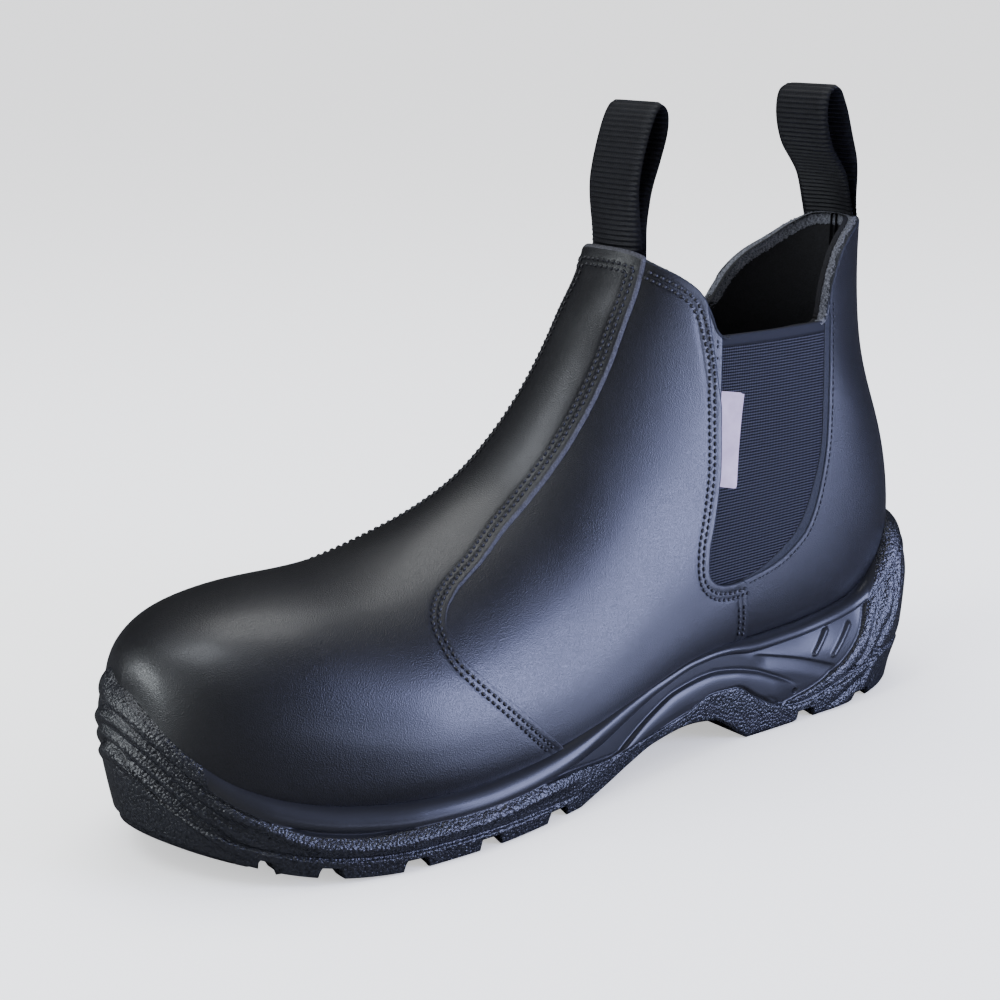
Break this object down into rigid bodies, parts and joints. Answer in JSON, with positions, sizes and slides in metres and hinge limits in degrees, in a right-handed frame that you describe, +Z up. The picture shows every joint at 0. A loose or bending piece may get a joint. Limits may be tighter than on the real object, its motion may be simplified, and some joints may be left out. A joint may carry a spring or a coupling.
{
  "type": "side gore work boot",
  "caption": "Black leather ankle boot for the left foot, with elastic side gussets, webbing pull loops at the collar and a cupped lugged sole.",
  "frame": {"origin": "middle of the bounding box's footprint, on the floor", "axes": "+X heel to toe, +Y to the outer side of this left boot, +Z up"},
  "size_m": [0.3022, 0.1044, 0.2067],
  "materials": {
    "leather": "satin smooth grain",
    "elastic": "ribbed matte",
    "webbing": "woven matte",
    "outsole_rubber": "fine texture",
    "midsole_foam": "pebbled, satin bead",
    "insole_fabric": "matte",
    "label_tape": "woven matte, bare"
  },
  "bodies": {
    "root": {"outsole": "outsole_rubber", "midsole": "midsole_foam", "insole": "insole_fabric", "upper": "leather", "gore_lateral": "elastic", "gore_medial": "elastic", "label_tab": "label_tape", "pull_loop_front": "webbing", "pull_loop_rear": "webbing"}
  },
  "joints": []
}
